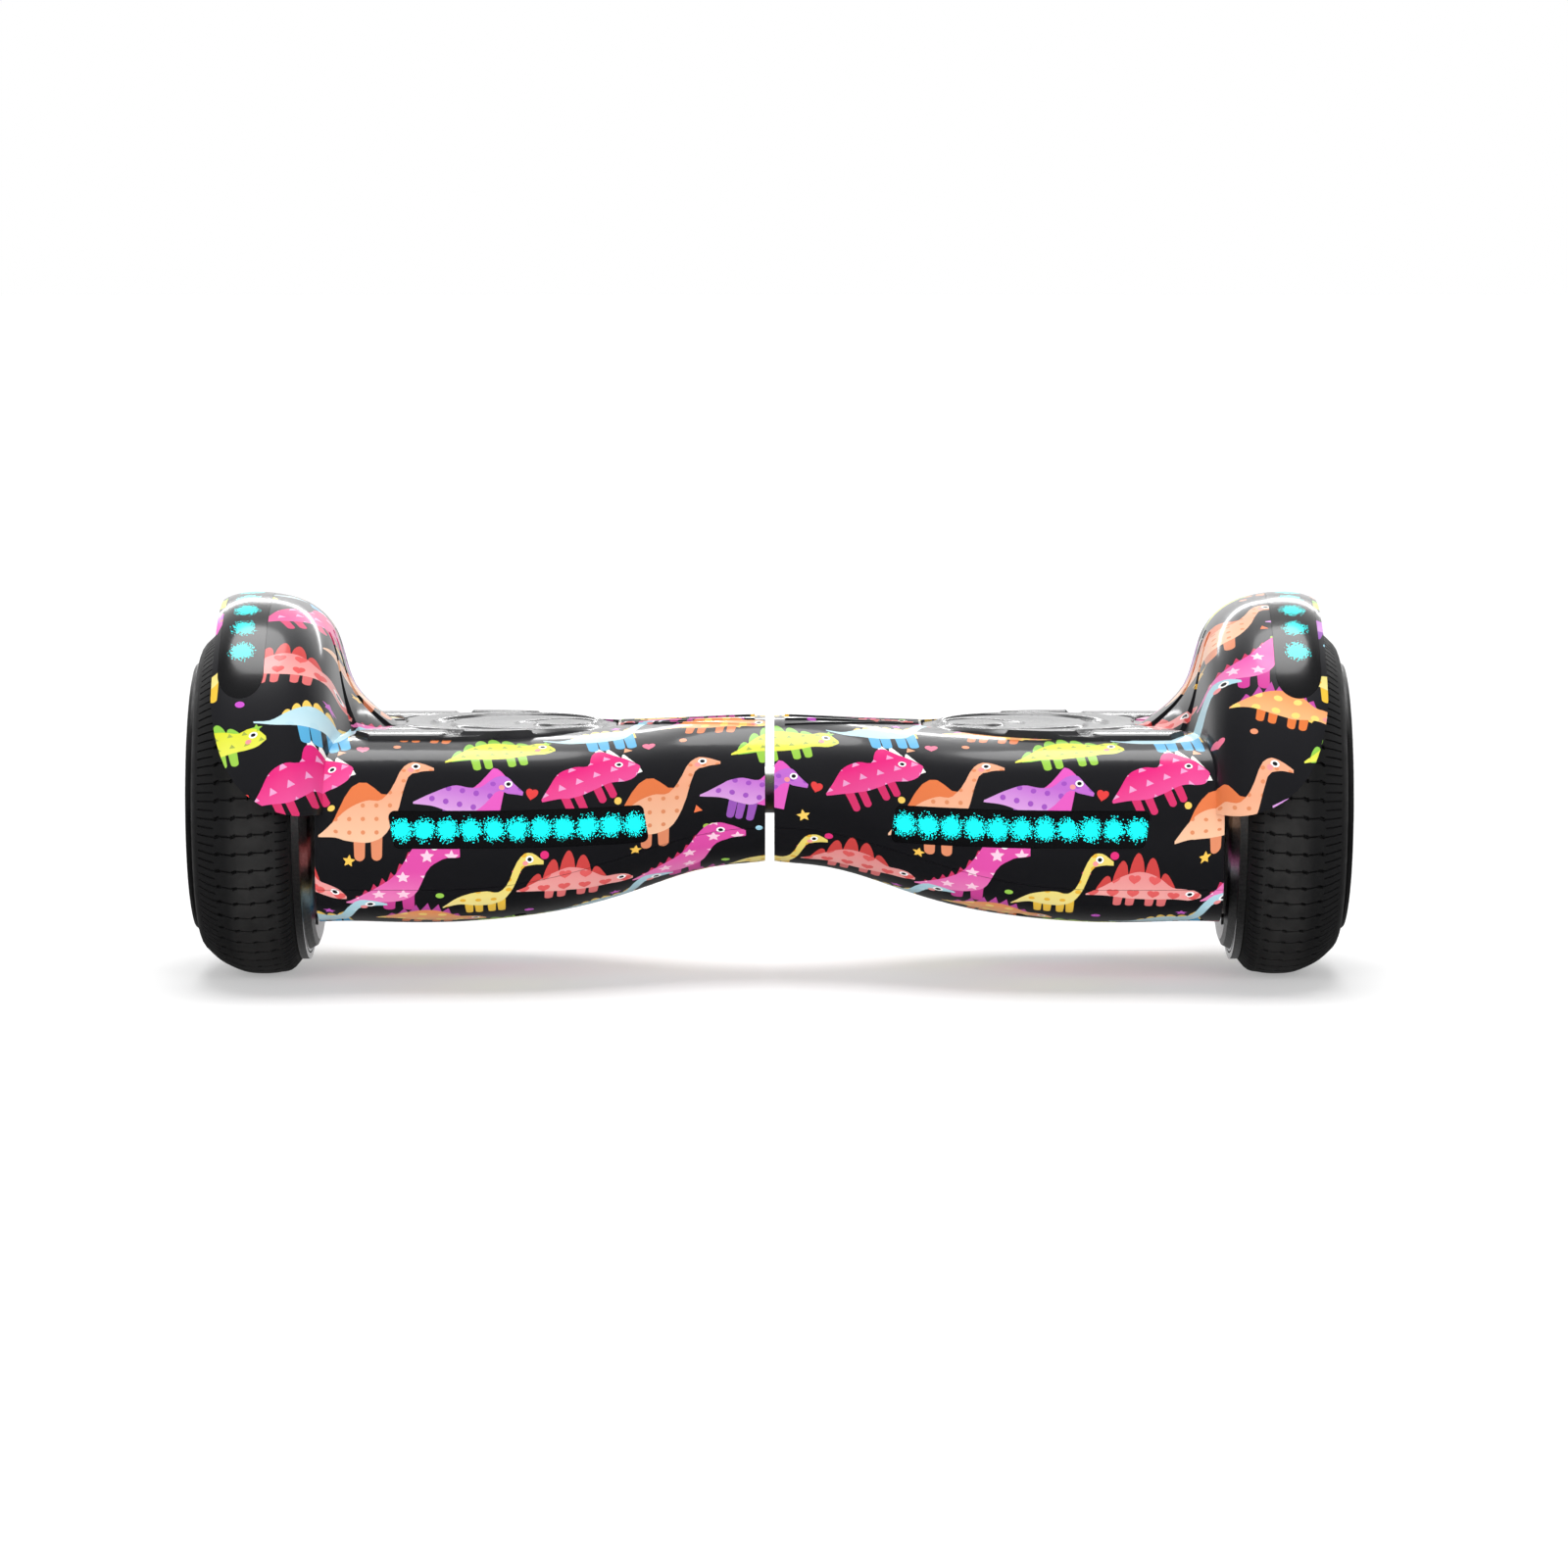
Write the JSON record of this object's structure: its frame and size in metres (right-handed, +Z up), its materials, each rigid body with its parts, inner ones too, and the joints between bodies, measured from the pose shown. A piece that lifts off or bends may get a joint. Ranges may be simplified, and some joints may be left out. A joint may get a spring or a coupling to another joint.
{
  "type": "self balancing hoverboard",
  "caption": "Two-wheeled self balancing board with twisting halves, hub motor wheels under arched fenders, rubber foot pads and lit front bars",
  "frame": {"origin": "on the ground under the middle of the board, half way between the wheels", "axes": "+X along the board towards the rider's right wheel seen from the front, +Y to the back, +Z up"},
  "size_m": [0.548, 0.1942, 0.1826],
  "materials": {
    "printed_shell": "near-black injection moulded shell, water transfer printed with colourful dinosaurs, stars and hearts under clear lacquer",
    "smoked_lens": "polished smoked polycarbonate",
    "lamp_strip": "flexible lamp strip with cyan lamps",
    "black_plastic": "satin black moulded plastic",
    "pad_rubber": "moulded black rubber",
    "cap_rubber": "soft black rubber",
    "cable_rubber": "round black cable jacket",
    "tyre": "solid black rubber with a fine stepped tread",
    "satin_silver": "satin silver die casting",
    "cast_aluminium": "raw sand-blasted casting",
    "steel": "zinc plated steel",
    "core_steel": "stacked steel laminations",
    "magnet_plate": "nickel plated magnets",
    "copper": "enamelled copper wire",
    "bronze": "sintered bronze",
    "battery_wrap": "blue shrink wrap",
    "circuit_board": "green solder mask with components",
    "chrome_trim": "polished plated ring"
  },
  "bodies": {
    "left_half": {"left_upper_shell": "printed_shell", "left_lower_shell": "printed_shell", "left_front_light_lens": "smoked_lens", "left_fender_light_lens": "smoked_lens", "left_front_light_board": "lamp_strip", "left_fender_light_board": "lamp_strip", "left_fender_light_cover": "black_plastic", "left_sensor_board": "circuit_board", "left_frame": "cast_aluminium", "left_axle_clamp": "cast_aluminium", "left_clamp_bolts": "steel", "left_shell_screws": "steel", "left_axle": "steel", "left_stator": "core_steel", "left_coils": "copper", "pivot_tube": "steel", "retaining_ring": "steel", "pivot_cable": "cable_rubber", "battery_pack": "battery_wrap", "battery_strap": "steel"},
    "right_half": {"right_upper_shell": "printed_shell", "right_lower_shell": "printed_shell", "right_front_light_lens": "smoked_lens", "right_fender_light_lens": "smoked_lens", "right_front_light_board": "lamp_strip", "right_fender_light_board": "lamp_strip", "right_fender_light_cover": "black_plastic", "right_sensor_board": "circuit_board", "right_frame": "cast_aluminium", "right_axle_clamp": "cast_aluminium", "right_clamp_bolts": "steel", "right_shell_screws": "steel", "right_axle": "steel", "right_stator": "core_steel", "right_coils": "copper", "pivot_bushes": "bronze", "main_board": "circuit_board", "heat_sink": "cast_aluminium", "charge_port": "steel", "power_switch": "chrome_trim"},
    "left_wheel": {"left_tyre": "tyre", "left_wheel_rim": "satin_silver", "left_hub_cap": "black_plastic", "left_motor_cover": "satin_silver", "left_cover_screws": "steel", "left_magnets": "magnet_plate", "left_wheel_bearings": "steel"},
    "right_wheel": {"right_tyre": "tyre", "right_wheel_rim": "satin_silver", "right_hub_cap": "black_plastic", "right_motor_cover": "satin_silver", "right_cover_screws": "steel", "right_magnets": "magnet_plate", "right_wheel_bearings": "steel"},
    "left_pedal": {"left_foot_pad": "pad_rubber", "left_pad_plungers": "pad_rubber"},
    "right_pedal": {"right_foot_pad": "pad_rubber", "right_pad_plungers": "pad_rubber"},
    "power_button": {"power_button": "black_plastic"},
    "charge_cap": {"charge_cap": "cap_rubber"}
  },
  "joints": [
    {"name": "half_twist", "type": "hinge", "parent": "left_half", "child": "right_half", "pos_m": [0, 0, 0.0888], "axis": [1, 0, 0], "range_deg": [-12, 12]},
    {"name": "left_wheel_spin", "type": "hinge", "parent": "left_half", "child": "left_wheel", "pos_m": [-0.2465, 0, 0.085], "axis": [1, 0, 0], "continuous": true},
    {"name": "right_wheel_spin", "type": "hinge", "parent": "right_half", "child": "right_wheel", "pos_m": [0.2465, 0, 0.085], "axis": [1, 0, 0], "continuous": true},
    {"name": "left_pedal_press", "type": "slide", "parent": "left_half", "child": "left_pedal", "axis": [0, 0, -1], "range_m": [0, 0.001], "stiffness_N_per_m": 20000},
    {"name": "right_pedal_press", "type": "slide", "parent": "right_half", "child": "right_pedal", "axis": [0, 0, -1], "range_m": [0, 0.001], "stiffness_N_per_m": 20000},
    {"name": "power_button_press", "type": "slide", "parent": "right_half", "child": "power_button", "axis": [0, -1, 0], "range_m": [0, 0.0012], "stiffness_N_per_m": 1500},
    {"name": "charge_cap_open", "type": "hinge", "parent": "right_half", "child": "charge_cap", "pos_m": [0.174, 0.0808, 0.0655], "axis": [-1, 0, 0], "range_deg": [0, 110]}
  ]
}
